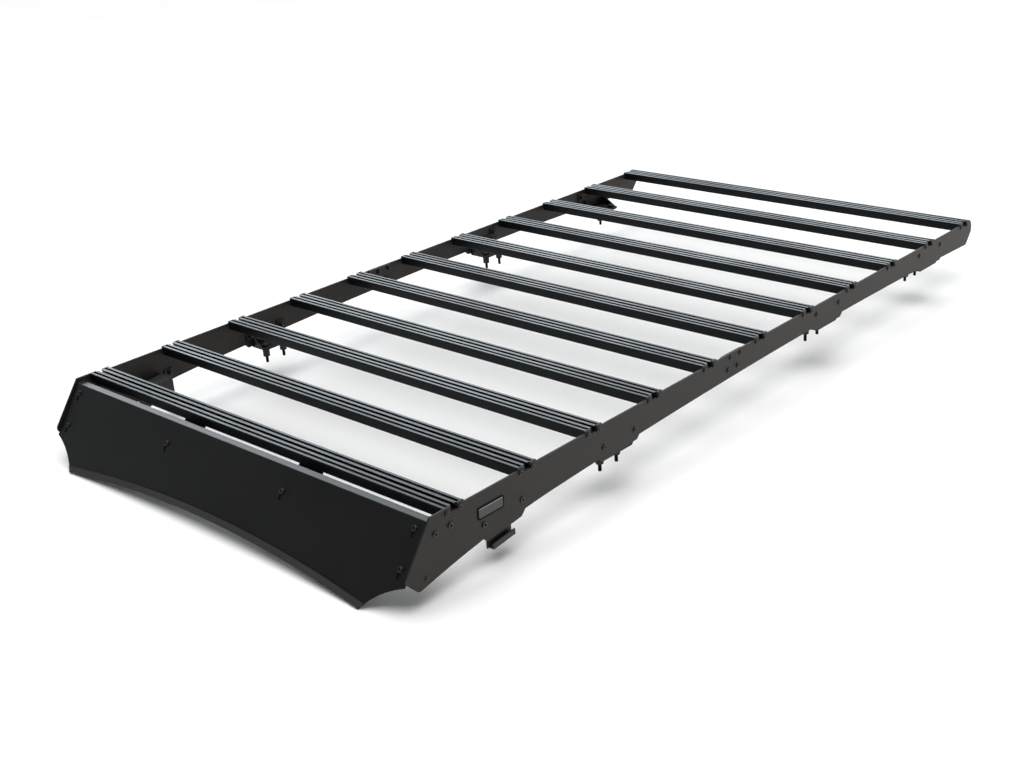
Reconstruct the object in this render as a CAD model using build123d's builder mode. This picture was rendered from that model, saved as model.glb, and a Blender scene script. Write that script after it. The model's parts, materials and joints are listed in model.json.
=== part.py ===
"""Flat platform roof rack: slotted crossbars between two cut side plates, with a wind deflector and feet.

Millimetres. X runs across the rack (+X is its left side), Y runs along it with the front at -Y, Z is up.
The origin is the middle of the rack's footprint, on the surface that it stands on.
"""
from build123d import *
from math import cos, radians, sin, sqrt, tan
import os

os.makedirs("parts", exist_ok=True)

# Overall
overall_width = 1180.0
plate_thickness = 4.0

# Crossbars: extrusions that butt against the inner faces of the side plates
bar_count = 11
bar_pitch = 202.0
bar_width = 51.0
bar_height = 22.0
bar_corner = 2.0
bar_wall = 2.0
slot_mouth = 8.6
slot_lip = 3.5
slot_width = 15.0
slot_depth = 12.0
groove_width = 7.4
groove_depth = 3.0
groove_offset = 14.7
port_offset = 17.0
port_depth = 11.0
port_boss = 9.0
port_hole = 5.0

# Side plates: heights are drops below the bar tops, lengths are measured from the first bar
ear_height = 5.0
notch_width = 18.0
notch_depth = 12.5
plate_front_top = 62.0
nose_reach = 138.0
nose_drop = 103.0
chin_reach = 106.3
chin_drop = 136.6
chin_radius = 12.0
belly_start = (-95.0, 134.0)
belly_bend = (65.0, 105.0)
belly_waist = (300.0, 83.3)
belly_crest = (1350.0, 58.0)
rear_reach = 42.0
rear_heel = 14.0
rear_nose_drop = 36.0
heel_drop = 69.0
rear_radius = 22.0
rear_corner = 8.0
seam_bay = 4.446
seam_drop = 26.5
seam_lean = 21.0
seam_gap = 0.6
splice_length = 84.0
splice_height = 46.0
splice_drop = 1.0
splice_thickness = 4.0
splice_corner = 6.0

# Wind deflector: a sheet that leans forward, folded back along its top
lean = 34.6
sheet = 2.0
fold_radius = 3.0
deflector_reach = 64.09
deflector_drop = 9.93
flange_width = 17.0
flange_relief = 3.0
flange_stub = 4.0
end_gap = 1.0
end_depth = 126.8
corner_inset = 93.0
corner_depth = 194.8
corner_hollow = 8.3
middle_depth = 162.8
trim_wall = 2.0
trim_height = 14.0
trim_floor = 3.0
slot_bolt_width = 7.0
slot_bolt_length = 24.0
slot_below_bolt = 8.0
end_bolt_inset = 24.0
end_bolt_depths = (18.8, 97.8)
middle_bolt_offset = 196.0
middle_bolt_depth = 48.8
angle_leg = 40.0
angle_thickness = 3.0
angle_length = 114.0
angle_drop = 4.8
angle_side = 52.0
angle_chamfer = 16.0
tongue_end = 4.0
tongue_drop = 25.0
tongue_length = 56.0
tongue_height = 26.0
strap_width = 72.0
strap_thickness = 3.0
strap_rear = 20.0
strap_seat = 26.0
strap_step = 13.0
strap_leg = 62.0

# Feet, front to rear: places in bar pitches behind the first bar, the tabs in the plate's lower edge,
# the two bolts through the plate, and from the second foot on the studs
foot_bays = (0.63, 2.4, 6.455, 9.03)
tab_halves = (60.0, 68.0, 68.0, 68.0)
tab_drops = (108.5, 84.5, 68.0, 69.0)
tab_slopes = (0.0935, 0.05, 0.0, 0.0)
foot_bolt_drops = (72.0, 57.0, 28.5, 26.0)
foot_bolt_halves = (54.0, 51.0, 51.0, 58.0)
stud_insets = (31.0, 43.0, 53.0)
sleeve_lengths = (23.0, 21.0, 27.0)
tab_chamfer = 11.0
tab_rise = 30.0
foot_thickness = 4.0
foot_gap = 2.0
foot_margin = 12.0
foot_saddle = 4.0
foot_half = 44.0
foot_corner = 14.0
stud_half_pitch = 27.5
stud_diameter = 8.0
stud_length = 40.5
stud_neck = 10.0
stud_nut = 17.0
stud_nut_height = 8.0
sleeve_diameter = 18.0
stud_edge = 20.0
gusset_thickness = 3.0
gusset_rise = 0.5
front_foot_rise = 0.112
tube_half = 33.0
tube_depth = 44.0
tube_top = 67.3
tube_low = 108.0
tube_wall = 3.0
hook_shift = 6.2
hook_half = 31.0
hook_web_shift = 8.8
hook_web_half = 34.5
hook_wall = 3.0
hook_depth = 7.0
hook_low = 133.0
lip_height = 12.0
lip_reach = 7.0

# Derived places
half_width = overall_width / 2
inner_half = half_width - plate_thickness
trim_low = corner_depth * cos(radians(lean)) + (sheet + trim_wall) * sin(radians(lean))
bar_top = deflector_drop + trim_low
front_end = deflector_reach + corner_depth * sin(radians(lean)) + trim_wall * cos(radians(lean))
rear_end = (bar_count - 1) * bar_pitch + rear_reach
first_bar = -(rear_end - front_end) / 2
plate_top = bar_top - ear_height
seam = first_bar + seam_bay * bar_pitch
bars = [first_bar + bar_pitch * i for i in range(bar_count)]
last_bar = bars[-1]
feet = [
    dict(y=bay * bar_pitch, tab_half=half, tab_drop=drop, slope=slope, bolt_drop=bolt, bolt_half=reach)
    for bay, half, drop, slope, bolt, reach in zip(
        foot_bays, tab_halves, tab_drops, tab_slopes, foot_bolt_drops, foot_bolt_halves
    )
]
for foot, inset, sleeve in zip(feet[1:], stud_insets, sleeve_lengths):
    foot.update(stud_inset=inset, sleeve=sleeve)

# Alignment of a shape that hangs from the middle of its upper edge
hung = (Align.CENTER, Align.MAX)


def place(y, drop):
    """A point of the side view, from its distance behind the first bar and its drop below the bar tops."""
    return (first_bar + y, bar_top - drop)


def save(piece, name):
    """Labels a finished piece and writes it as its own file."""
    piece.part.label = name
    export_step(piece.part, f"parts/{name}.step")


# Crossbar section: four lands on top, a T-slot between them, three hollow chambers and two screw ports
chamber_inner = slot_width / 2 + bar_wall
chamber_outer = bar_width / 2 - bar_wall
chamber_width = chamber_outer - chamber_inner
chamber_top = groove_depth + bar_wall
chamber_height = bar_height - bar_wall - chamber_top
keel_top = slot_depth + bar_wall
keel_height = bar_height - bar_wall - keel_top


def crossbar(y):
    """One extrusion across the rack at y."""
    with BuildPart() as bar:
        with BuildSketch(Plane.YZ.offset(-inner_half)) as section:
            with Locations((y, bar_top - bar_height / 2)):
                RectangleRounded(bar_width, bar_height, bar_corner)
            with Locations((y, bar_top)):
                Rectangle(slot_mouth, slot_depth, align=hung, mode=Mode.SUBTRACT)
            with Locations((y, bar_top - slot_lip)):
                Rectangle(slot_width, slot_depth - slot_lip, align=hung, mode=Mode.SUBTRACT)
            with Locations((y, bar_top - keel_top)):
                Rectangle(slot_width, keel_height, align=hung, mode=Mode.SUBTRACT)
            for side in (-1, 1):
                with Locations((y + side * groove_offset, bar_top)):
                    Rectangle(groove_width, groove_depth, align=hung, mode=Mode.SUBTRACT)
                with Locations((y + side * (chamber_inner + chamber_width / 2), bar_top - chamber_top)):
                    Rectangle(chamber_width, chamber_height, align=hung, mode=Mode.SUBTRACT)
                with Locations((y + side * (chamber_inner + chamber_width / 2), bar_top - port_depth)):
                    Rectangle(chamber_width, bar_wall)
                with Locations((y + side * port_offset, bar_top - port_depth)):
                    Circle(port_boss / 2)
                    Circle(port_hole / 2, mode=Mode.SUBTRACT)
        extrude(amount=2 * inner_half)
    return bar


for number, y in enumerate(bars, 1):
    save(crossbar(y), f"crossbar_{number:02d}")


# Side plates: one outline with ears and notches at every bar, cut in two at the seam
def top_edge():
    """The points of the upper edge from the front corner to the rear: two ears and a notch at each bar."""
    points = [place(-plate_front_top, 0)]
    for i, y in enumerate(bars):
        if i > 0:
            points += [(y - bar_width / 2, plate_top), (y - bar_width / 2, bar_top)]
        points += [(y - notch_width / 2, bar_top), (y - notch_width / 2, bar_top - notch_depth)]
        points += [(y + notch_width / 2, bar_top - notch_depth), (y + notch_width / 2, bar_top)]
        if i < bar_count - 1:
            points += [(y + bar_width / 2, bar_top), (y + bar_width / 2, plate_top)]
    return points


rear_top, rear_nose, heel = (
    (last_bar + reach, bar_top - drop)
    for reach, drop in ((rear_reach, 0), (rear_reach, rear_nose_drop), (rear_heel, heel_drop))
)
chin, nose = place(-chin_reach, chin_drop), place(-nose_reach, nose_drop)


def side_plate(x, front):
    """The front or rear length of the side plate whose near face is at x."""
    with BuildPart() as plate:
        with BuildSketch(Plane.YZ.offset(x)) as outline:
            with BuildLine():
                top = Polyline(*top_edge(), rear_top, rear_nose, heel)
                belly = ThreePointArc(top @ 1, place(*belly_crest), place(*belly_waist))
                throat = ThreePointArc(belly @ 1, place(*belly_bend), place(*belly_start))
                Polyline(throat @ 1, chin, nose, top @ 0)
            make_face()
            for corner, radius in (
                (rear_top, rear_radius), (rear_nose, rear_corner), (heel, rear_corner), (chin, chin_radius),
                (nose, chin_radius),
            ):
                fillet(outline.vertices().sort_by_distance((*corner, 0))[0], radius)
            for foot in feet:
                fall = foot["slope"] * foot["tab_half"]
                front_end_y, rear_end_y = (foot["y"] + end * foot["tab_half"] for end in (-1, 1))
                front_drop, rear_drop = (foot["tab_drop"] - end * fall for end in (-1, 1))
                with BuildLine():
                    Polyline(
                        place(front_end_y, front_drop - tab_rise),
                        place(front_end_y, front_drop - tab_chamfer),
                        place(front_end_y + tab_chamfer, front_drop),
                        place(rear_end_y - tab_chamfer, rear_drop),
                        place(rear_end_y, rear_drop - tab_chamfer),
                        place(rear_end_y, rear_drop - tab_rise),
                        close=True,
                    )
                make_face()
        extrude(amount=plate_thickness)
        half_gap = -seam_gap / 2 if front else seam_gap / 2
        cut = Plane(
            origin=(0, seam + half_gap, bar_top - seam_drop),
            x_dir=(1, 0, 0),
            z_dir=(0, -cos(radians(seam_lean)), sin(radians(seam_lean))),
        )
        split(bisect_by=cut, keep=Keep.TOP if front else Keep.BOTTOM)
    return plate


for side, x in (("left", inner_half), ("right", -half_width)):
    save(side_plate(x, True), f"{side}_side_plate_front")
    save(side_plate(x, False), f"{side}_side_plate_rear")


# Splice plates behind the seams
for side, x in (("left", inner_half - splice_thickness), ("right", -inner_half)):
    with BuildPart() as splice:
        with BuildSketch(Plane.YZ.offset(x)):
            with Locations((seam, plate_top - splice_drop - splice_height / 2)):
                RectangleRounded(splice_length, splice_height, splice_corner)
        extrude(amount=splice_thickness)
    save(splice, f"{side}_splice_plate")


# Wind deflector, drawn on its own leaning plane: local x across, local y up the sheet
fold = place(-deflector_reach, deflector_drop)
lean_plane = Plane(
    origin=(0, fold[0], fold[1]),
    x_dir=(1, 0, 0),
    z_dir=(0, -cos(radians(lean)), sin(radians(lean))),
)
deflector_half = inner_half - end_gap
corner_half_width = deflector_half - corner_inset
arch_sag = corner_depth - middle_depth
arch_radius = (corner_half_width**2 + arch_sag**2) / (2 * arch_sag)
arch_end_depth = middle_depth + arch_radius - sqrt(arch_radius**2 - deflector_half**2)
bolt_spots = [(side * middle_bolt_offset, middle_bolt_depth) for side in (-1, 1)]
end_bolt_half = deflector_half - end_bolt_inset
bolt_spots += [(side * end_bolt_half, depth) for side in (-1, 1) for depth in end_bolt_depths]


def deflector_face():
    """The whole outline: square ends, hollow corners and an arched lower edge."""
    with BuildSketch() as face:
        with BuildLine():
            ends = Polyline(
                (-deflector_half, -end_depth),
                (-deflector_half, 0),
                (deflector_half, 0),
                (deflector_half, -end_depth),
            )
            left = SagittaArc(ends @ 1, (corner_half_width, -corner_depth), -corner_hollow)
            bottom = SagittaArc(left @ 1, (-corner_half_width, -corner_depth), -arch_sag)
            SagittaArc(bottom @ 1, ends @ 0, -corner_hollow)
        make_face()
    return face.sketch


def above_arch(rise):
    """Everything above the arched lower edge, raised by a distance."""
    with BuildSketch() as region:
        with BuildLine():
            arch = ThreePointArc(
                (-deflector_half, rise - arch_end_depth),
                (0, rise - middle_depth),
                (deflector_half, rise - arch_end_depth),
            )
            Polyline(arch @ 1, (deflector_half, 0), (-deflector_half, 0), arch @ 0)
        make_face()
    return region.sketch


with BuildPart() as deflector:
    with BuildSketch(lean_plane):
        add(deflector_face())
        add(above_arch(trim_floor), mode=Mode.INTERSECT)
        with Locations(*[(x, -depth - slot_below_bolt) for x, depth in bolt_spots]):
            SlotOverall(slot_bolt_length, slot_bolt_width, rotation=90, mode=Mode.SUBTRACT)
    extrude(amount=-sheet)
    with BuildSketch(Plane.YZ.offset(-deflector_half)):
        with BuildLine():
            Polyline(
                fold,
                (fold[0] + flange_width, fold[1]),
                (fold[0] + flange_width, fold[1] - sheet),
                (fold[0] + sheet / 2, fold[1] - sheet),
                close=True,
            )
        make_face()
    extrude(amount=2 * deflector_half)
    creases = deflector.edges().filter_by(Axis.X).filter_by(lambda edge: edge.length > deflector_half)
    fillet(creases.sort_by_distance((0, *fold))[0], fold_radius)
    with BuildSketch(Plane.XY.offset(fold[1])):
        with Locations(*[(side * deflector_half, fold[0] + flange_stub) for side in (-1, 1)]):
            Rectangle(2 * flange_relief, flange_width, align=(Align.CENTER, Align.MIN))
    extrude(amount=-sheet, mode=Mode.SUBTRACT)
save(deflector, "wind_deflector")

# Edge trim: a channel pushed on to the arched edge of the sheet
with BuildPart() as trim:
    with BuildSketch(lean_plane.offset(trim_wall)):
        add(deflector_face())
        add(above_arch(trim_height), mode=Mode.SUBTRACT)
    extrude(amount=-(sheet + 2 * trim_wall))
    with BuildSketch(lean_plane):
        add(above_arch(trim_floor))
    extrude(amount=-sheet, mode=Mode.SUBTRACT)
save(trim, "deflector_edge_trim")

# Angles that carry the deflector's ends on the side plates, with a tongue back below the first bar
for side, sign in (("left", 1), ("right", -1)):
    with BuildPart() as angle:
        with BuildSketch(lean_plane.offset(-sheet)):
            with Locations((sign * (inner_half - angle_leg / 2), -angle_drop)):
                Rectangle(angle_leg, angle_length, align=hung)
        extrude(amount=-angle_thickness)
        with BuildSketch(lean_plane.offset(-sheet - angle_thickness)):
            with Locations((sign * (inner_half - angle_thickness / 2), -angle_drop)):
                Rectangle(angle_thickness, angle_length, align=hung)
        extrude(amount=-angle_side)
        chamfer(angle.edges().filter_by(Axis.X).sort_by(Axis.Z)[0], angle_chamfer)
        with BuildSketch(Plane.YZ.offset(sign * inner_half)):
            with Locations(place(tongue_end, tongue_drop)):
                Rectangle(tongue_length, tongue_height, align=(Align.MAX, Align.MAX))
        extrude(amount=-sign * angle_thickness)
    save(angle, f"{side}_deflector_angle")

# Straps from the underside of the first bar, stepped down to a shelf, to the back of the deflector
strap_top = bar_top - bar_height
strap_shelf = strap_top - strap_step
strap_bend = fold[0] - (fold[1] - strap_shelf) * tan(radians(lean)) + sheet / cos(radians(lean))
strap_inside = strap_thickness * tan(radians(90 - lean) / 2)
strap_joggle = strap_thickness * tan(radians(45) / 2)
strap_toe = (strap_bend - strap_leg * sin(radians(lean)), strap_shelf - strap_leg * cos(radians(lean)))
seat_rear = bars[0] + strap_rear
seat_end = seat_rear - strap_seat
for side, sign in (("left", 1), ("right", -1)):
    with BuildPart() as strap:
        with BuildSketch(Plane.YZ.offset(sign * middle_bolt_offset - strap_width / 2)):
            with BuildLine():
                Polyline(
                    (seat_rear, strap_top),
                    (seat_end, strap_top),
                    (seat_end - strap_step, strap_shelf),
                    (strap_bend, strap_shelf),
                    strap_toe,
                    (strap_toe[0] + strap_thickness * cos(radians(lean)),
                     strap_toe[1] - strap_thickness * sin(radians(lean))),
                    (strap_bend + strap_inside, strap_shelf - strap_thickness),
                    (seat_end - strap_step + strap_joggle, strap_shelf - strap_thickness),
                    (seat_end + strap_joggle, strap_top - strap_thickness),
                    (seat_rear, strap_top - strap_thickness),
                    close=True,
                )
            make_face()
        extrude(amount=strap_width)
    save(strap, f"{side}_deflector_strap")


def foot_ears(foot):
    """The upper edge of a foot's wall: an ear round each plate bolt and a saddle between them."""
    outer = foot["bolt_half"] + foot_margin
    inner = foot["bolt_half"] - foot_margin
    top, saddle, low = (foot["bolt_drop"] + step for step in (-foot_margin, foot_saddle, foot_margin))
    steps = ((-outer, low), (-outer, top), (-inner, top), (-inner, saddle))
    steps += tuple((-y, drop) for y, drop in reversed(steps))
    return [place(foot["y"] + y, drop) for y, drop in steps]


# Feet behind the front ones: a bent bracket bolted to the plate, its floor carrying two studs
def stud_spots(sign, foot):
    """The places of a foot's two studs, seen from above."""
    x = sign * (inner_half - foot["stud_inset"])
    return [(x, first_bar + foot["y"] + end * stud_half_pitch) for end in (-1, 1)]


def stud_foot(sign, foot):
    """One bracket: a wall against the side plate, a floor that reaches inwards and two gussets."""
    floor_drop = foot["tab_drop"] + foot_gap
    floor_top = bar_top - floor_drop
    reach = foot["stud_inset"] + stud_edge
    with BuildPart() as bracket:
        with BuildSketch(Plane.YZ.offset(sign * inner_half)):
            with BuildLine():
                Polyline(
                    *foot_ears(foot),
                    place(foot["y"] + foot_half, floor_drop + foot_thickness),
                    place(foot["y"] - foot_half, floor_drop + foot_thickness),
                    close=True,
                )
            make_face()
        extrude(amount=-sign * foot_thickness)
        with BuildSketch(Plane.XY.offset(floor_top)) as floor:
            with Locations((sign * (inner_half - reach / 2), first_bar + foot["y"])):
                Rectangle(reach, 2 * foot_half)
            inner_corners = floor.vertices().sort_by(Axis.X, reverse=sign < 0)[:2]
            fillet(inner_corners, foot_corner)
            with Locations(*stud_spots(sign, foot)):
                Circle(stud_neck / 2, mode=Mode.SUBTRACT)
        extrude(amount=-foot_thickness)
        for end in (-1, 1):
            gusset_y = first_bar + foot["y"] + end * (foot_half - gusset_thickness / 2)
            with BuildSketch(Plane.XZ.offset(-gusset_y)):
                with BuildLine():
                    Polyline(
                        (sign * inner_half, floor_top),
                        (sign * (inner_half - reach + foot_corner), floor_top),
                        (sign * inner_half, floor_top + gusset_rise * reach),
                        close=True,
                    )
                make_face()
            extrude(amount=gusset_thickness / 2, both=True)
    return bracket


def foot_studs(sign, foot):
    """The two studs of a foot: a nut above the floor, a neck in it, a sleeve below and the bare end."""
    floor_top = bar_top - foot["tab_drop"] - foot_gap
    floor_low = floor_top - foot_thickness
    with BuildPart() as studs:
        with BuildSketch(Plane.XY.offset(floor_top)):
            with Locations(*stud_spots(sign, foot)):
                RegularPolygon(stud_nut / 2, 6, major_radius=False)
        extrude(amount=stud_nut_height)
        for diameter, top, length in (
            (stud_neck, floor_top, foot_thickness),
            (sleeve_diameter, floor_low, foot["sleeve"]),
            (stud_diameter, floor_low, stud_length),
        ):
            with BuildSketch(Plane.XY.offset(top)):
                with Locations(*stud_spots(sign, foot)):
                    Circle(diameter / 2)
            extrude(amount=-length)
    return studs


def front_foot(sign, foot):
    """The front foot: a wall on the side plate, a square tube inside it and a hook channel below."""
    middle = first_bar + foot["y"]
    slope = Vector(0, 1, front_foot_rise)
    fall = front_foot_rise * tube_half
    tube_height = tube_low - tube_top
    web_top = tube_low - tube_wall / 2

    def spot(depth, drop):
        """A point of a cross section, from its distance inside the plate and its drop."""
        return (sign * (inner_half - depth), bar_top - drop)

    with BuildPart() as bracket:
        with BuildSketch(Plane.YZ.offset(sign * inner_half)):
            with BuildLine():
                Polyline(
                    *foot_ears(foot),
                    place(foot["y"] + tube_half, tube_low - fall),
                    place(foot["y"] - tube_half, tube_low + fall),
                    close=True,
                )
            make_face()
        extrude(amount=-sign * foot_thickness)
        with BuildSketch(Plane.XZ.offset(-middle)):
            with Locations(spot(foot_thickness + tube_depth / 2, (tube_top + tube_low) / 2)):
                Rectangle(tube_depth, tube_height)
                Rectangle(tube_depth - 2 * tube_wall, tube_height - 2 * tube_wall, mode=Mode.SUBTRACT)
        extrude(amount=tube_half * slope.length, dir=slope, both=True)
        with BuildSketch(Plane.XZ.offset(hook_web_shift - middle)):
            with Locations(spot(hook_depth - hook_wall / 2, web_top)):
                Rectangle(hook_wall, hook_low - hook_wall / 2 - web_top, align=hung)
        extrude(amount=hook_web_half * slope.length, dir=slope, both=True)
        with BuildSketch(Plane.XZ.offset(hook_shift - middle)):
            with BuildLine():
                Polyline(
                    spot(hook_depth, hook_low),
                    spot(-lip_reach, hook_low),
                    spot(-lip_reach, hook_low - lip_height),
                    spot(hook_wall - lip_reach, hook_low - lip_height),
                    spot(hook_wall - lip_reach, hook_low - hook_wall),
                    spot(hook_depth, hook_low - hook_wall),
                    close=True,
                )
            make_face()
        extrude(amount=hook_half * slope.length, dir=slope, both=True)
    return bracket


for side, sign in (("left", 1), ("right", -1)):
    save(front_foot(sign, feet[0]), f"{side}_foot_1")
    for number, foot in enumerate(feet[1:], 2):
        save(stud_foot(sign, foot), f"{side}_foot_{number}")
        save(foot_studs(sign, foot), f"{side}_foot_{number}_studs")
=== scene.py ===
# %% [markdown]
# # A flat platform roof rack
#
# This lesson dresses a roof rack that was already built as solids: slotted crossbars between two cut
# side plates, a leaning wind deflector and eight feet. The solids arrive as a fixed frame. What is
# added here is what a maker adds last: the fasteners, the threads, a bare badge plate, and the black
# finishes.
#
# Everything is in metres. X runs across the rack, Y runs along it with the deflector at the low end,
# and Z is up. The floor is at zero.

import json
from math import cos, pi, radians, sin

import bmesh
import bpy
from mathutils import Matrix, Vector


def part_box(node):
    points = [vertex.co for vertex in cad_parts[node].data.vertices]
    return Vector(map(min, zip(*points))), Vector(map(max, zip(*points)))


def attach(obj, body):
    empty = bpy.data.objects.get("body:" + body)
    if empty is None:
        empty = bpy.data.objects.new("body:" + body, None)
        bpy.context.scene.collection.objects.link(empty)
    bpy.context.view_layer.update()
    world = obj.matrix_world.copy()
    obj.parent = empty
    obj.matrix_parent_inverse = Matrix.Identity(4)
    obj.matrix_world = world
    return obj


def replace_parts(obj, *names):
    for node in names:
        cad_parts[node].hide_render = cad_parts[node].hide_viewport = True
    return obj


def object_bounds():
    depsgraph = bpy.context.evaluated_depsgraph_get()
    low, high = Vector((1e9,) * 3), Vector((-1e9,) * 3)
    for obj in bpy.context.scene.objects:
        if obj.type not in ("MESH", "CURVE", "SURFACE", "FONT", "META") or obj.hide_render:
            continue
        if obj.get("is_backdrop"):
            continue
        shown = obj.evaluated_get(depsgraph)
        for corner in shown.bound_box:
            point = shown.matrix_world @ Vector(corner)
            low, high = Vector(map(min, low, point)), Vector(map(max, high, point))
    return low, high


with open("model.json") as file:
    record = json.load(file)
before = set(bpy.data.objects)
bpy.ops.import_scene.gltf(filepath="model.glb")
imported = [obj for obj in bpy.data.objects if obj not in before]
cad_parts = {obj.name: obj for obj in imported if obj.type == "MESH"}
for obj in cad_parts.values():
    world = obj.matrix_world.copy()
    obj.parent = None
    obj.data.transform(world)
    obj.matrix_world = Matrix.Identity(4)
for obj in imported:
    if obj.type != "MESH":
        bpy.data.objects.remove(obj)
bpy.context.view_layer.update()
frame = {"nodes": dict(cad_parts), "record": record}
nodes = frame["nodes"]
mm = 0.001

# %% [markdown]
# ## Reading places from the frame
#
# A fastener belongs to the piece that it holds, so its place could be typed in, but then it would be
# left behind when the model changes. Reading the boxes of the solids keeps every screw on its bar and
# plate.

# %% Measure the bars and the plates
bar_boxes = [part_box(name) for name in sorted(nodes) if name.startswith("crossbar")]
bar_lines = [(low.y + high.y) / 2 for low, high in bar_boxes]
bar_pitch = bar_lines[1] - bar_lines[0]
bar_top = bar_boxes[0][1].z
plate_low, plate_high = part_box("left_side_plate_front")
plate_inner, plate_outer = plate_low.x, plate_high.x
sides = {"left": 1, "right": -1}
print(len(bar_lines), "bars,", round(bar_pitch / mm), "mm apart, tops at", round(bar_top / mm), "mm")

# %% [markdown]
# ## The camera
#
# The photograph was taken from in front of the rack's left corner, a little above it. The place, the
# turn and the focal length come from fitting a camera to the straight edges of the bars and plates, so
# the render lies over the photograph. A camera could be placed by eye, but the bars are so regular that
# any error shows.

# %% Set up the camera
camera_data = bpy.data.cameras.new("photo_camera")
camera_data.sensor_width = 36.0
camera_data.lens = 50.33
camera = bpy.data.objects.new("photo_camera", camera_data)
camera.location = (2.3037, -2.5345, 1.3884)
camera.rotation_euler = [radians(angle) for angle in (67.057, 3.990, 42.412)]
bpy.context.scene.collection.objects.link(camera)
bpy.context.scene.camera = camera
print("camera at", [round(value, 3) for value in camera.location])

# %% [markdown]
# ## Shader maths
#
# Black paint is only interesting through what changes on it: grain, haze, rubbed edges. Those come from
# textures mixed by arithmetic. Wiring Math nodes by hand hides the formula, so a small class wraps a
# socket and turns Python's operators into nodes.

# %% Write sockets as numbers
class Value:
    """An output socket that takes part in arithmetic. Each operator adds one Math node."""

    def __init__(self, finish, socket):
        self.finish = finish
        self.socket = socket

    def _math(self, operation, first, second):
        return self.finish.node("ShaderNodeMath", {"operation": operation}, {0: first, 1: second})

    def __add__(self, other):
        return self._math("ADD", self, other)

    def __sub__(self, other):
        return self._math("SUBTRACT", self, other)

    def __rsub__(self, other):
        return self._math("SUBTRACT", other, self)

    def __mul__(self, other):
        return self._math("MULTIPLY", self, other)

    def __gt__(self, other):
        return self._math("GREATER_THAN", self, other)

    __radd__ = __add__
    __rmul__ = __mul__


print("operators:", [name for name in vars(Value) if name.startswith("__")])

# %% [markdown]
# A finish is a material with one Principled shader. Numbers that are the same all over the surface are
# set on the shader when it is made. What changes over the surface is fed to it afterwards. Every node
# comes from one method, so a finish reads as a list of what it is made of and not as a list of wires.

# %% Hold a finish together
class Finish:
    """A material whose sockets are fed by values."""

    def __init__(self, name, **constants):
        self.material = bpy.data.materials.new(name)
        self.material.use_nodes = True
        self.tree = self.material.node_tree
        self.shader = self.tree.nodes["Principled BSDF"]
        self.set(**constants)

    def node(self, kind, settings=(), inputs=(), output=0):
        """Adds a node: its settings first, then the numbers or values of its inputs."""
        made = self.tree.nodes.new(kind)
        for name, value in dict(settings).items():
            setattr(made, name, value)
        for name, value in dict(inputs).items():
            self.feed(made.inputs[name], value)
        return Value(self, made.outputs[output])

    def feed(self, socket, value):
        if isinstance(value, Value):
            self.tree.links.new(value.socket, socket)
        else:
            socket.default_value = value

    def set(self, **values):
        """Feeds the shader's sockets, named with _ for a space, and returns the material."""
        for socket, value in values.items():
            self.feed(self.shader.inputs[socket.replace("_", " ")], value)
        return self.material


print("a finish can:", [name for name in vars(Finish) if not name.startswith("_")])

# %% [markdown]
# A few helpers cover the textures of this object: the place on the piece, a noise that can be stretched
# along an axis, a soft threshold, how far a face looks up, a mix of two colours, a bump made from a
# height, and a grey that may be warm.

# %% Add the texture helpers
def place(finish):
    return finish.node("ShaderNodeTexCoord", output="Object")


def height_of(finish, vector):
    return finish.node("ShaderNodeSeparateXYZ", inputs={"Vector": vector}, output="Z")


def noise(finish, size, stretch=(1, 1, 1), detail=3.0):
    """Noise whose blotches are about size metres across, longer along an axis where stretch is above 1."""
    scale = [1 / (size * longer) for longer in stretch]
    spread = finish.node("ShaderNodeMapping", inputs={"Vector": place(finish), "Scale": scale})
    return finish.node(
        "ShaderNodeTexNoise", inputs={"Vector": spread, "Scale": 1.0, "Detail": detail, "Roughness": 0.55}
    )


def between(finish, value, low, high):
    """0 below low, 1 above high, smooth in between."""
    return finish.node(
        "ShaderNodeMapRange",
        {"interpolation_type": "SMOOTHSTEP"},
        {"Value": value, "From Min": low, "From Max": high},
    )


def upward(finish):
    """How far a face looks up: 1 on a level top, 0 on an upright side, below 0 underneath."""
    return height_of(finish, finish.node("ShaderNodeNewGeometry", output="Normal"))


def mix(finish, factor, first, second):
    """Mixes two colours."""
    return finish.node("ShaderNodeMix", {"data_type": "RGBA"}, {0: factor, 6: first, 7: second}, output=2)


def bump(finish, height, depth):
    return finish.node("ShaderNodeBump", inputs={"Height": height, "Distance": depth, "Strength": 1.0})


def grey(level, warmth=0.0):
    """A colour of one level, a little redder than blue where warmth is above 0."""
    return (level * (1 + warmth), level, level * (1 - warmth), 1)


print("a warm grey:", [round(channel, 4) for channel in grey(0.02, 0.1)])

# %% [markdown]
# ## Powder coat
#
# The plates, the deflector and the brackets are powder coated: a baked paint with a pebbled skin, a
# little lighter where it is thin. What faces up gathers dust, and hands and straps polish the fold of
# the deflector. Painting a flat black would lose all of it, so the colour drifts slowly over the piece,
# the gloss changes with the pebbles, and a shallow bump breaks up the reflections.

# %% Mix the powder coat
dust = grey(0.05)
drift_size, scuff_size, pebble_depth = 220 * mm, 12 * mm, 0.1 * mm
leaning, level = 0.7, 0.95


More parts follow.
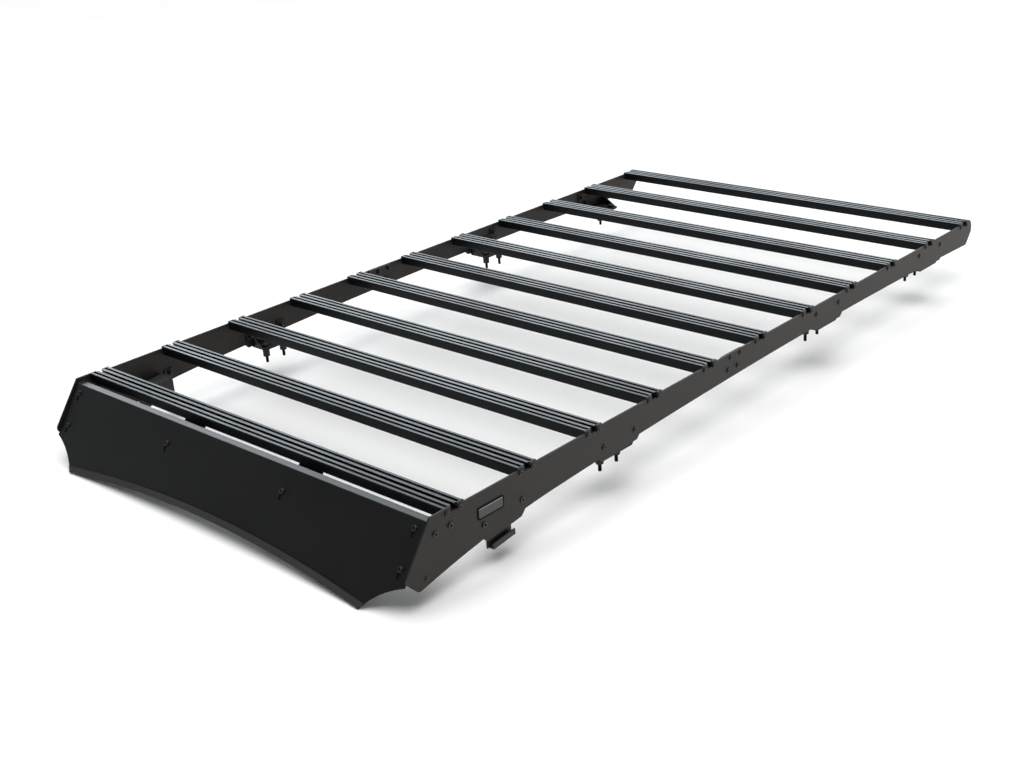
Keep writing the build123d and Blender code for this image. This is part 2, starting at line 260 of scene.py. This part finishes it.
def powder_coat(name, deep, thin, roughness, pebble, shine, tint, polish=0.0):
    """deep and thin are the colours, pebble the size of the grain, polish the gloss of level faces."""
    coat = Finish(name, Specular_IOR_Level=shine, Specular_Tint=tint, Coat_Roughness=0.32)
    drift = noise(coat, drift_size, detail=4.0)
    grain = noise(coat, pebble, detail=2.0)
    scuffs = between(coat, noise(coat, scuff_size, stretch=(6, 6, 1), detail=5.0), 0.66, 0.74)
    tone = between(coat, drift, 0.3, 0.75) * 0.55 + grain * 0.35 + scuffs * 0.25
    top = between(coat, upward(coat), leaning, level)
    settled = top * (drift * 0.3 + grain * 0.15)
    return coat.set(
        Base_Color=mix(coat, settled, mix(coat, tone, deep, thin), dust),
        Roughness=roughness + 0.1 * (grain - 0.5) + 0.08 * (drift - 0.5),
        Coat_Weight=top * (polish + 0.2 * (drift - 0.5)),
        Normal=bump(coat, grain, pebble_depth),
    )


print("dust colour:", dust)

# %% [markdown]
# The same mix gives four coats. The plates have a warm black, the deflector is the deepest and has the
# polished fold, the brackets are matt, and the front feet with their hooks take a greyer copy of the
# bracket coat, which paints in the light that their lips catch.

# %% Make the powder coats
warm, white = (1.0, 0.92, 0.87, 1), (1.0, 1.0, 1.0, 1)
plate_coat = powder_coat(
    "plate_coat", deep=grey(0.0105, 0.1), thin=grey(0.022, 0.1),
    roughness=0.48, pebble=1.1 * mm, shine=0.34, tint=warm,
)
sheet_coat = powder_coat(
    "sheet_coat", deep=grey(0.0036, -0.02), thin=grey(0.0076, -0.02),
    roughness=0.44, pebble=0.9 * mm, shine=0.28, tint=white, polish=0.72,
)
bracket_coat = powder_coat(
    "bracket_coat", deep=grey(0.006), thin=grey(0.012),
    roughness=0.48, pebble=1.0 * mm, shine=0.25, tint=white,
)
# a greyer copy of the bracket coat: painted light for the lit lips of the front feet
lit_hook_coat = powder_coat(
    "lit_hook_coat", deep=grey(0.014), thin=grey(0.029),
    roughness=0.48, pebble=1.0 * mm, shine=0.38, tint=white,
)
print("powder coats:", plate_coat.name, sheet_coat.name, bracket_coat.name, lit_hook_coat.name)

# %% [markdown]
# ## Coated extrusion
#
# A crossbar is pushed through a die, so faint lines run along its whole length, and the coat follows
# them. Its sheen is a little blue. Loads slide over the top lands and burnish them smoother, and every
# land is painted a shade lighter than the grooves: partly rubbed wear, partly a painted highlight. The
# height on the piece says where the lands are, which is surer than looking for sharp edges.

# %% Make the bar coat
bluish = (0.8, 0.92, 1.0, 1)
bar_deep, bar_thin = (0.0032, 0.0038, 0.0045, 1), (0.0068, 0.0075, 0.0088, 1)
# the colour of worn lands and of the painted highlight that every land gets
burnish_and_highlight = (0.05, 0.052, 0.056, 1)
die_line, die_line_stretch, die_line_depth = 0.7 * mm, 900, 0.06 * mm
land_bottom = bar_top - 0.4 * mm


def extrusion_coat(name):
    coat = Finish(name, Specular_IOR_Level=0.17, Specular_Tint=bluish, Coat_Roughness=0.3)
    lines = noise(coat, die_line, stretch=(die_line_stretch, 1, 1), detail=2.0)
    drift = noise(coat, 150 * mm, stretch=(3, 1, 1), detail=4.0)
    pebbles = noise(coat, 0.9 * mm, detail=2.0)
    land = height_of(coat, place(coat)) > land_bottom
    rubbed = land * between(coat, drift, 0.25, 0.7)
    paint = mix(coat, lines * 0.5 + drift * 0.5, bar_deep, bar_thin)
    return coat.set(
        # lands are lighter where rubbed (wear) and by a fixed share on every land (painted highlight)
        Base_Color=mix(coat, rubbed * 0.6 + land * 0.2, paint, burnish_and_highlight),
        Roughness=0.46 - 0.1 * rubbed - 0.04 * land + 0.12 * (lines - 0.5),
        Coat_Weight=land * 0.5 + rubbed * 0.4,
        Normal=bump(coat, lines * 0.7 + pebbles * 0.3, die_line_depth),
    )


bar_coat = extrusion_coat("bar_coat")
print("bar coat:", bar_coat.name)

# %% [markdown]
# ## Rubber and steel
#
# The strip along the deflector's lower edge is extruded rubber: matt, slightly greyed, with faint marks
# from its die. One flat grey would look like painted metal, so a slow bloom and a fine skin are laid
# over it.

# %% Make the rubber
def edge_rubber(name):
    rubber = Finish(name, Specular_IOR_Level=0.3)
    bloom = noise(rubber, 50 * mm, stretch=(4, 1, 1), detail=5.0)
    skin = noise(rubber, 0.6 * mm, stretch=(40, 1, 1), detail=2.0)
    return rubber.set(
        Base_Color=mix(rubber, bloom * 0.7 + skin * 0.3, grey(0.018), grey(0.042)),
        Roughness=0.68 + 0.15 * (bloom - 0.5),
        Normal=bump(rubber, skin, 0.08 * mm),
    )


trim_rubber = edge_rubber("trim_rubber")
print("rubber:", trim_rubber.name)

# %% [markdown]
# The screws and studs are steel with a black oxide, a thin skin that rubs through to grey in spots. The
# crown of a head is painted grey as well and its side black: a painted highlight and painted shade. No
# coordinate tells the two apart on a screw that may point anywhere, so the meshes carry a crown mark.

# %% Make the steel
def black_steel(name, dark, bare_and_lit, rubbing):
    """rubbing lowers the threshold at which the oxide is worn."""
    steel = Finish(name, Metallic=0.85)
    worn = between(steel, noise(steel, 2.2 * mm, detail=5.0), 0.62 - rubbing, 0.82 - rubbing)
    grain = noise(steel, 0.25 * mm, detail=2.0)
    # the crown mark paints a highlight on the top of each head and leaves its side dark as painted shade
    crown = steel.node("ShaderNodeAttribute", {"attribute_name": "crown"}, output="Fac")
    return steel.set(
        Base_Color=mix(steel, worn * 0.4 + crown * 0.6, dark, bare_and_lit),
        Roughness=0.42 - 0.12 * worn + 0.16 * (grain - 0.5),
        Normal=bump(steel, grain, 0.02 * mm),
    )


# the second colour is that of worn spots and of the painted highlight on the crowns
screw_steel = black_steel("screw_steel", dark=grey(0.01, -0.02), bare_and_lit=grey(0.085, -0.02), rubbing=0.0)
stud_steel = black_steel("stud_steel", dark=grey(0.028, -0.02), bare_and_lit=grey(0.1, -0.02), rubbing=0.04)
print("steel:", screw_steel.name, stud_steel.name)

# %% [markdown]
# Each solid from the frame keeps its shape and takes the finish of its kind. The record already says
# which kind it is, so the names of its material slots choose the finish. Only the front feet depart
# from it, with their greyer coat, a painted lighter tone for the light that their lips catch.

# %% Dress the solids
finish_of_slot = {
    "bar_black": bar_coat,
    "plate_black": plate_coat,
    "sheet_black": sheet_coat,
    "bracket_black": bracket_coat,
    "stud_steel": stud_steel,
    "trim_rubber": trim_rubber,
}
slot_of_node = {entry["node"]: entry["material_slot"] for entry in frame["record"]["subparts"]}
for name, node in nodes.items():
    # the front feet take the greyer coat, painted light for their lit lips
    finish = lit_hook_coat if name.endswith("foot_1") else finish_of_slot[slot_of_node[name]]
    node.data.materials.clear()
    node.data.materials.append(finish)
print("dressed", len(nodes), "solids")

# %% [markdown]
# ## Copying a fastener
#
# The rack has well over a hundred fasteners of a few kinds. Each kind is modelled once, upright at the
# origin, as a pattern. Spinning and bridging leave doubled points and faces that look inwards, so every
# pattern has its doubles merged and then its normals recalculated. Its upper points are marked as the
# crown, which the steel paints lighter as a painted highlight.

# %% Make a pattern
merge_distance, crown_share = 0.001 * mm, 0.7


def pattern(name, build):
    """A mesh made once by build(bm), closed and facing outwards, with its crown marked for a painted
    highlight.
    """
    bm = bmesh.new()
    build(bm)
    bmesh.ops.remove_doubles(bm, verts=bm.verts, dist=merge_distance)
    bmesh.ops.recalc_face_normals(bm, faces=bm.faces)
    # the upper points of the pattern take the painted highlight
    crown = bm.verts.layers.float.new("crown")
    crown_height = crown_share * max(vert.co.z for vert in bm.verts)
    for vert in bm.verts:
        vert[crown] = float(vert.co.z > crown_height)
    mesh = bpy.data.meshes.new(name)
    bm.to_mesh(mesh)
    bm.free()
    return mesh


print("a crown is above", crown_share, "of the height")

# %% [markdown]
# Linked copies would be light, but a finished piece has to sit at the origin with its place in its
# mesh, so the copies are joined into one mesh for each group.

# %% Set a pattern in many places
def spot(at, up):
    """Puts a pattern at a point, with its own Z turned to the direction up."""
    return Matrix.Translation(at) @ Vector(up).to_track_quat("Z", "Y").to_matrix().to_4x4()


def lifted(spots, height):
    """The same spots, moved along their own Z."""
    return [turn @ Matrix.Translation((0, 0, height)) for turn in spots]


def set_out(name, mesh, spots, finish):
    """One piece that holds a copy of the pattern at every spot."""
    bm = bmesh.new()
    for turn in spots:
        before = len(bm.verts)
        bm.from_mesh(mesh)
        bm.verts.ensure_lookup_table()
        bmesh.ops.transform(bm, matrix=turn, verts=bm.verts[before:])
    made = bpy.data.meshes.new(name)
    bm.to_mesh(made)
    bm.free()
    piece = bpy.data.objects.new(name, made)
    made.materials.append(finish)
    bpy.context.scene.collection.objects.link(piece)
    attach(piece, "root")
    print(name, len(spots), "copies,", len(made.polygons), "faces")
    return piece


facing_left = spot((0, 0, 0), (1, 0, 0)).to_euler()
print("a pattern that looks left is turned by", [round(turn, 2) for turn in facing_left])

# %% [markdown]
# ## Button-head screws
#
# A button head is a low dome with a hexagon socket. The dome is a short profile spun about its axis.
# The socket starts as a circle of six points bridged to the rim of the dome, so the six flats run into
# the round without a cut, and its edge is then pushed down and closed.

# %% Model the button head
same_level = 1e-7
dome = ((0, 0), (1, 0), (1, 0.5), (0.95, 0.74), (0.84, 0.91), (0.68, 1))
socket_depth = 0.7


def spin_profile(bm, points, steps):
    """Turns a profile of (radius, height) points about Z and returns its last ring of edges."""
    verts = [bm.verts.new((radius, 0, height)) for radius, height in points]
    edges = [bm.edges.new(pair) for pair in zip(verts, verts[1:])]
    bmesh.ops.spin(
        bm, geom=verts + edges, cent=(0, 0, 0), axis=(0, 0, 1), angle=2 * pi, steps=steps, use_merge=True
    )
    end = points[-1][1]
    return [edge for edge in bm.edges if all(abs(vert.co.z - end) < same_level for vert in edge.verts)]


def button_head(radius, height, socket):
    """The dome's points are shares of the head's radius and height."""
    def build(bm):
        rim = spin_profile(bm, [(radius * across, height * up) for across, up in dome], steps=24)
        hexagon = bmesh.ops.create_circle(
            bm, segments=6, radius=socket, matrix=Matrix.Translation((0, 0, height))
        )["verts"]
        edges = [edge for edge in bm.edges if all(vert in hexagon for vert in edge.verts)]
        bmesh.ops.bridge_loops(bm, edges=rim + edges)
        walls = bmesh.ops.extrude_edge_only(bm, edges=edges)["geom"]
        lowered = [item for item in walls if isinstance(item, bmesh.types.BMVert)]
        bmesh.ops.translate(bm, verts=lowered, vec=(0, 0, -socket_depth * height))
        bmesh.ops.contextual_create(bm, geom=lowered)

    return build


bar_screw = pattern("bar_screw", button_head(radius=5.8 * mm, height=2.9 * mm, socket=2.4 * mm))
plate_screw = pattern("plate_screw", button_head(radius=6.6 * mm, height=2.9 * mm, socket=2.9 * mm))
small_screw = pattern("small_screw", button_head(radius=4.2 * mm, height=2.0 * mm, socket=1.8 * mm))
print("button heads:", len(bar_screw.polygons), "faces each")

# %% [markdown]
# Two screws hold each end of every bar, through the ears of the side plate into the screw ports of the
# extrusion, one each side of the T-slot. The heads stand a little forward of the middles of the solid's
# ports, which is nearer to where the photograph shows them.

# %% Fit the bar screws
port_offset, port_drop = 17 * mm, 11 * mm
head_shift = -2.5 * mm
head_z = bar_top - port_drop
head_lines = [y + head_shift + end * port_offset for y in bar_lines for end in (-1, 1)]
for side, sign in sides.items():
    heads = [spot((sign * plate_outer, y, head_z), (sign, 0, 0)) for y in head_lines]
    set_out(f"{side}_bar_screws", bar_screw, heads, screw_steel)

# %% [markdown]
# ## Where the plate screws go
#
# Each foot hangs from two screws through the ears of its wall. The splice behind the seam takes four,
# and the angle behind the deflector two more and a small one near its foot. The ears are found from the
# box of each foot: a screw sits in the middle of an ear, which is as far from the top edge as from the
# end. The front foot is bolted on with a slope, so its front screw is lower and its rear screw higher.
#
# The steps are in millimetres along and up: from the middle of the splice, and from the top of the
# first bar.

# %% Find the plate screws
ear = 12 * mm
slope_of_foot = {1: 3.5 * mm, 2: 0, 3: 0, 4: 0}
bracket_wall, angle_wall = 4 * mm, 3 * mm
splice_steps = ((-9.5, 13.8), (28, 13.8), (-20.5, -13.7), (17, -13.7))
angle_steps = ((-14, -37), (-53, -38))
small_step = (-85, -116)


def plate_places(side):
    """The (y, z, wall) of every large screw in a side plate: wall is what it passes through inside."""
    places = []
    for number, slope in slope_of_foot.items():
        low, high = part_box(f"{side}_foot_{number}")
        places.append((low.y + ear, high.z - ear - slope, bracket_wall))
        places.append((high.y - ear, high.z - ear + slope, bracket_wall))
    low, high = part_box(f"{side}_splice_plate")
    middle = (low + high) / 2
    places += [(middle.y + y * mm, middle.z + z * mm, bracket_wall) for y, z in splice_steps]
    places += [(bar_lines[0] + y * mm, bar_top + z * mm, angle_wall) for y, z in angle_steps]
    return places


print("large screws in each plate:", len(plate_places("left")))

# %% [markdown]
# ## Nuts and washers
#
# Inside the plate each of those screws ends in a washer and a nut, with a little thread showing. A nut
# is a six-sided prism with its corners turned off, which a bevel on its flat faces gives. The washer is
# a flat ring, spun with a small chamfer.

# %% Model the nut and the washer
thread_end = ((0, 0.5), (1, 0.5), (1, 1.3), (0.8, 1.45), (0, 1.45))
nut_bevel, washer_bevel = 0.09, 0.3


def nut(flats, height, thread):
    """flats is the width over the flats, and thread the radius of the end that shows."""
    corner = flats / 2 / cos(pi / 6)

    def build(bm):
        bmesh.ops.create_cone(
            bm, cap_ends=True, segments=6, radius1=corner, radius2=corner, depth=height,
            matrix=Matrix.Translation((0, 0, height / 2)),
        )
        rims = [edge for edge in bm.edges if abs(edge.verts[0].co.z - edge.verts[1].co.z) < same_level]
        bmesh.ops.bevel(
            bm, geom=rims, offset=nut_bevel * flats, segments=2, profile=0.5, affect="EDGES", material=-1
        )
        spin_profile(bm, [(thread * across, height * up) for across, up in thread_end], steps=16)

    return build


def washer(outer, inner, height):
    chamfer = washer_bevel * height
    rounded = [(outer, height - chamfer), (outer - chamfer, height)]
    ring = [(inner, 0), (outer, 0), *rounded, (inner, height), (inner, 0)]
    return lambda bm: spin_profile(bm, ring, steps=28)


washer_height = 1.2 * mm
plate_nut = pattern("plate_nut", nut(flats=10 * mm, height=5 * mm, thread=3 * mm))
small_nut = pattern("small_nut", nut(flats=8 * mm, height=4 * mm, thread=2.5 * mm))
plate_washer = pattern("plate_washer", washer(outer=6.9 * mm, inner=3.3 * mm, height=washer_height))
print("nut:", len(plate_nut.polygons), "faces; washer:", len(plate_washer.polygons))

# %% [markdown]
# On the inner face the nut stands on whatever the screw passes through last: the wall of a foot, the
# splice plate or the angle, with a washer between. The small screw has a nut alone.

# %% Fit the plate screws, washers and nuts
small_y, small_z = bar_lines[0] + small_step[0] * mm, bar_top + small_step[1] * mm
for side, sign in sides.items():
    places = plate_places(side)
    heads = [spot((sign * plate_outer, y, z), (sign, 0, 0)) for y, z, wall in places]
    backs = [spot((sign * (plate_inner - wall), y, z), (-sign, 0, 0)) for y, z, wall in places]
    set_out(f"{side}_plate_screws", plate_screw, heads, screw_steel)
    set_out(f"{side}_plate_washers", plate_washer, backs, screw_steel)
    set_out(f"{side}_plate_nuts", plate_nut, lifted(backs, washer_height), screw_steel)
    head = spot((sign * plate_outer, small_y, small_z), (sign, 0, 0))
    back = spot((sign * (plate_inner - angle_wall), small_y, small_z), (-sign, 0, 0))
    set_out(f"{side}_low_screw", small_screw, [head], screw_steel)
    set_out(f"{side}_low_nut", small_nut, [back], screw_steel)

# %% [markdown]
# ## The deflector's screws
#
# The sheet hangs on six screws in upright slots, so that it can be set to the roof. They stand square
# to the sheet, which leans, so their direction is worked out from the lean and not from an axis. Their
# places are in millimetres from the middle and down the sheet from its fold.

# %% Fit the deflector's screws
lean = radians(34.6)
out_of_sheet = Vector((0, -cos(lean), sin(lean)))
down_sheet = Vector((0, -sin(lean), -cos(lean)))
flange_width, sheet_and_leg = 17 * mm, 5 * mm
slot_steps = ((196, 48.8), (561, 18.8), (561, 97.8))
flange_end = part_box("wind_deflector")[1]
fold = Vector((0, flange_end.y - flange_width, flange_end.z))
sheet_places = [
    fold + down_sheet * depth * mm + Vector((sign * across * mm, 0, 0))
    for across, depth in slot_steps
    for sign in sides.values()
]
fronts = [spot(at, out_of_sheet) for at in sheet_places]
backs = [spot(at - out_of_sheet * sheet_and_leg, -out_of_sheet) for at in sheet_places]
set_out("deflector_washers", plate_washer, fronts, screw_steel)
set_out("deflector_screws", bar_screw, lifted(fronts, washer_height), screw_steel)
set_out("deflector_nuts", plate_nut, backs, screw_steel)

# %% [markdown]
# The two straps behind the middle of the sheet are screwed up into the first bar, with two screws each.
# Their heads are under the straps, where only a low view shows them.

# %% Fit the strap screws
strap_wall, strap_screw_offset, strap_screw_back = 3 * mm, 22 * mm, 8 * mm
under_straps = []
for side in sides:
    low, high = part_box(f"{side}_deflector_strap")
    for offset in (-strap_screw_offset, strap_screw_offset):
        at = ((low.x + high.x) / 2 + offset, bar_lines[0] + strap_screw_back, high.z - strap_wall)
        under_straps.append(spot(at, (0, 0, -1)))
set_out("strap_screws", bar_screw, under_straps, screw_steel)

# %% [markdown]
# ## The studs
#
# Under each bracket hang two studs: a nut on the floor of the bracket, a plain sleeve below it and a
# bare threaded end. The solid has no thread. Here one profile runs from the tip, up the ridges of the
# thread and round the sleeve, and a single spin makes it all. A true helix would take many more faces,
# and at this size nobody could tell it from rings.

# %% Draw the profile of a stud
ridge, crest, root, tip_chamfer = 1.25 * mm, 4.0 * mm, 3.4 * mm, 0.6 * mm
sleeve_radius, sleeve_chamfer, neck_radius = 9 * mm, 0.8 * mm, 5 * mm
floor_thickness = 4 * mm
groove_depth, groove_heights = 0.6 * mm, (-2.6 * mm, -2.2 * mm, -1.6 * mm, -1.2 * mm)


def stud_profile(sleeve, length):
    """From the tip of the thread, round the sleeve with its groove, to the neck in the bracket's floor."""
    ring = tip_chamfer - length
    profile = [(0, -length), (root - tip_chamfer, -length), (root, ring)]
    while ring + ridge < -sleeve:
        profile += [(crest, ring + 0.5 * ridge), (root, ring + ridge)]
        ring += ridge
    profile += [(root, -sleeve), (sleeve_radius - sleeve_chamfer, -sleeve)]
    profile += [(sleeve_radius, sleeve_chamfer - sleeve)]
    groove_radius = sleeve_radius - groove_depth
    profile += zip((sleeve_radius, groove_radius, groove_radius, sleeve_radius), groove_heights)
    profile += [(sleeve_radius, 0), (neck_radius, 0)]
    return profile + [(neck_radius, floor_thickness), (0, floor_thickness)]


print("a stud's profile has", len(stud_profile(21 * mm, 40 * mm)), "points")

# %% [markdown]
# The nut is the one that was modelled for the plates, larger, and lifted on to the floor of the
# bracket. The studs stand where the plain solids stand, at the two ends of their boxes, and replace
# them in the picture.

# %% Set out the studs
sleeve_of_foot = {2: 23 * mm, 3: 21 * mm, 4: 27 * mm}


def stud(sleeve, length):
    """A stud below the floor of its bracket, which is at zero, and its nut above it."""
    def build(bm):
        nut(flats=17 * mm, height=8 * mm, thread=crest)(bm)
        bmesh.ops.translate(bm, verts=bm.verts, vec=(0, 0, floor_thickness))
        spin_profile(bm, stud_profile(sleeve, length), steps=24)

    return build


for side in sides:
    for number, sleeve in sleeve_of_foot.items():
        name = f"{side}_foot_{number}_studs"
        low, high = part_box(name)
        floor_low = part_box(f"{side}_foot_{number}")[0].z
        x = (low.x + high.x) / 2
        ends = (low.y + sleeve_radius, high.y - sleeve_radius)
        mesh = pattern(name, stud(sleeve, floor_low - low.z))
        spots = [spot((x, y, floor_low), (0, 0, 1)) for y in ends]
        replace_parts(set_out(f"{name}_threaded", mesh, spots, stud_steel), name)

# %% [markdown]
# ## The badge plate
#
# The left plate carries a small badge. On this part it stays bare: a black frame with a brushed plate
# set into it. The brushing is a noise stretched along the plate. The upper slope of the plate, which
# looks down at the floor, is painted light grey: a painted highlight that draws the bright line under
# the frame.

# %% Brush the badge
def brushed(name):
    metal = Finish(name, Metallic=0.9)
    strokes = noise(metal, 0.3 * mm, stretch=(1, 60, 1), detail=3.0)
    haze = noise(metal, 20 * mm, detail=3.0)
    # faces that look down, the upper slope of the plate, are painted light grey as a painted highlight
    painted_rim_highlight = between(metal, 0 - upward(metal), 0.05, 0.1)
    plain_face = mix(metal, strokes * 0.6 + haze * 0.4, grey(0.045), grey(0.115, 0.01))
    return metal.set(
        Base_Color=mix(metal, painted_rim_highlight, plain_face, grey(0.3)),
        Roughness=0.38 + 0.2 * (strokes - 0.5),
        Normal=bump(metal, strokes, 0.02 * mm),
    )


badge_metal = brushed("badge_metal")
badge_black = powder_coat(
    "badge_black", deep=grey(0.001), thin=grey(0.002),
    roughness=0.5, pebble=0.8 * mm, shine=0.05, tint=white,
)
print("badge:", badge_metal.name, badge_black.name)

# %% [markdown]
# A slab with its corners bevelled is the frame, and an inset of its face, pushed in, is the seat of the
# plate. The corners have to be rounder than the inset is wide, or the inner outline would cross itself.
# The plate is a smaller slab of the same kind, so one function makes both.

# %% Make the badge
sunk_share = 0.4


def slab(length, height, thickness, corner, rim):
    """A plate lying on its back, with round corners and its face sunk inside a rim."""
    def build(bm):
        bmesh.ops.create_cube(bm, size=1.0, matrix=Matrix.Diagonal((length, height, thickness, 1)))
        bmesh.ops.translate(bm, verts=bm.verts, vec=(0, 0, thickness / 2))
        upright = [edge for edge in bm.edges if edge.calc_length() < 1.01 * thickness]
        bmesh.ops.bevel(
            bm, geom=upright, offset=corner, segments=3, profile=0.5, affect="EDGES", material=-1
        )
        face = max(bm.faces, key=lambda face: face.calc_center_median().z)
        bmesh.ops.inset_region(bm, faces=[face], thickness=rim, depth=0, use_even_offset=True)
        bmesh.ops.translate(bm, verts=face.verts, vec=(0, 0, -sunk_share * thickness))

    return build


badge_frame = pattern(
    "badge_frame", slab(length=71.5 * mm, height=25 * mm, thickness=1.6 * mm, corner=2.8 * mm, rim=2.2 * mm)
)
badge_face = pattern(
    "badge_face", slab(length=66 * mm, height=19.5 * mm, thickness=0.5 * mm, corner=2.0 * mm, rim=1.6 * mm)
)
badge_back, badge_drop, badge_seat = 93.5 * mm, 47.6 * mm, 1.0 * mm
badge_at = (plate_outer, bar_lines[0] + badge_back, bar_top - badge_drop)
on_plate = Matrix.Translation(badge_at) @ Matrix(((0, 0, 1), (1, 0, 0), (0, 1, 0))).to_4x4()
set_out("badge_frame", badge_frame, [on_plate], badge_black)
set_out("badge_face", badge_face, lifted([on_plate], badge_seat), badge_metal)

# %% [markdown]
# ## The studio
#
# The photograph has a white ground and soft light. A floor that is only a little darker than white,
# with a faint mottle, keeps the picture bright and lights the plates from below. It reaches far enough
# that its edge lies near the horizon in a low view.

# %% Lay the floor
floor_reach = 400


def pale_floor(name):
    ground = Finish(name, Roughness=0.8, Specular_IOR_Level=0.1)
    mottle = noise(ground, 600 * mm, detail=3.0)
    return ground.set(Base_Color=mix(ground, mottle, grey(0.95), grey(0.98)))


floor_mesh = bpy.data.meshes.new("floor")
bm = bmesh.new()
bmesh.ops.create_grid(bm, x_segments=1, y_segments=1, size=floor_reach)
bm.to_mesh(floor_mesh)
bm.free()
floor_mesh.materials.append(pale_floor("pale_floor"))
floor = bpy.data.objects.new("floor", floor_mesh)
bpy.context.scene.collection.objects.link(floor)
floor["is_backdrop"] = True
print("floor", len(floor_mesh.polygons), "face")

# %% [markdown]
# The lands of the front bars shine and those of the rear bars fade, so the brightest light stands
# behind the rack, above the height that the rear bars mirror. Two small fills lift the rear of the near
# plate and the far end of the deflector. A broad light overhead keeps the floor even. The camera
# doesn't see the panels themselves.

# %% Hang the lights
def panel(name, at, aim, size, power, colour):
    light = bpy.data.lights.new(name, "AREA")
    light.shape = "RECTANGLE"
    light.size, light.size_y = size
    light.energy = power
    light.color = colour
    lamp = bpy.data.objects.new(name, light)
    lamp.location = at
    lamp.rotation_euler = (Vector(at) - Vector(aim)).to_track_quat("Z", "Y").to_euler()
    lamp.visible_camera = False
    bpy.context.scene.collection.objects.link(lamp)


cool, warmer = (0.85, 0.94, 1.0), (1.0, 0.95, 0.88)
panel("left_softbox", at=(-4.9, 4.2, 2.5), aim=(0, 0, 0.15), size=(8.0, 2.6), power=190, colour=cool)
panel("right_fill", at=(4.2, 4.6, 1.3), aim=(0.6, 0.8, 0.1), size=(2.0, 1.6), power=80, colour=warmer)
panel("front_fill", at=(-4.2, -3.0, 1.3), aim=(-0.4, -1.0, 0.1), size=(2.0, 1.6), power=4, colour=cool)
sky = bpy.data.lights.new("overhead", "SUN")
sky.energy = 3.0
sky.angle = radians(70)
overhead = bpy.data.objects.new("overhead", sky)
bpy.context.scene.collection.objects.link(overhead)

# %% [markdown]
# Dim surroundings keep the black deep, but beyond the edge of the floor a low view would show them as a
# dark band. A wall could hide it, and would throw light of its own. So the world is made in two parts:
# a dim one that lights the rack, and a white one that only fills the picture behind it.

# %% Surround the studio
dim_strength, white_strength = 0.1, 1.0


class Surroundings(Finish):
    """The world, whose nodes are made in the same way as a finish's."""

    def __init__(self, name):
        self.world = bpy.data.worlds.new(name)
        self.world.use_nodes = True
        self.tree = self.world.node_tree


studio = Surroundings("studio")
lighting = studio.node("ShaderNodeBackground", inputs={"Color": white, "Strength": dim_strength})
backdrop = studio.node("ShaderNodeBackground", inputs={"Color": white, "Strength": white_strength})
in_picture = studio.node("ShaderNodeLightPath", output="Is Camera Ray")
both = studio.node("ShaderNodeMixShader", inputs={0: in_picture, 1: lighting, 2: backdrop})
studio.feed(studio.tree.nodes["World Output"].inputs["Surface"], both)
bpy.context.scene.world = studio.world
bpy.context.scene.view_settings.view_transform = "Standard"
print("world:", studio.world.name, "with", len(studio.tree.nodes), "nodes")

# %% [markdown]
# ## Closing
#
# The dressed rack should not be larger than its solids. Here the box of everything shown is measured,
# the floor left out.

# %% Measure the dressed rack
low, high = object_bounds()
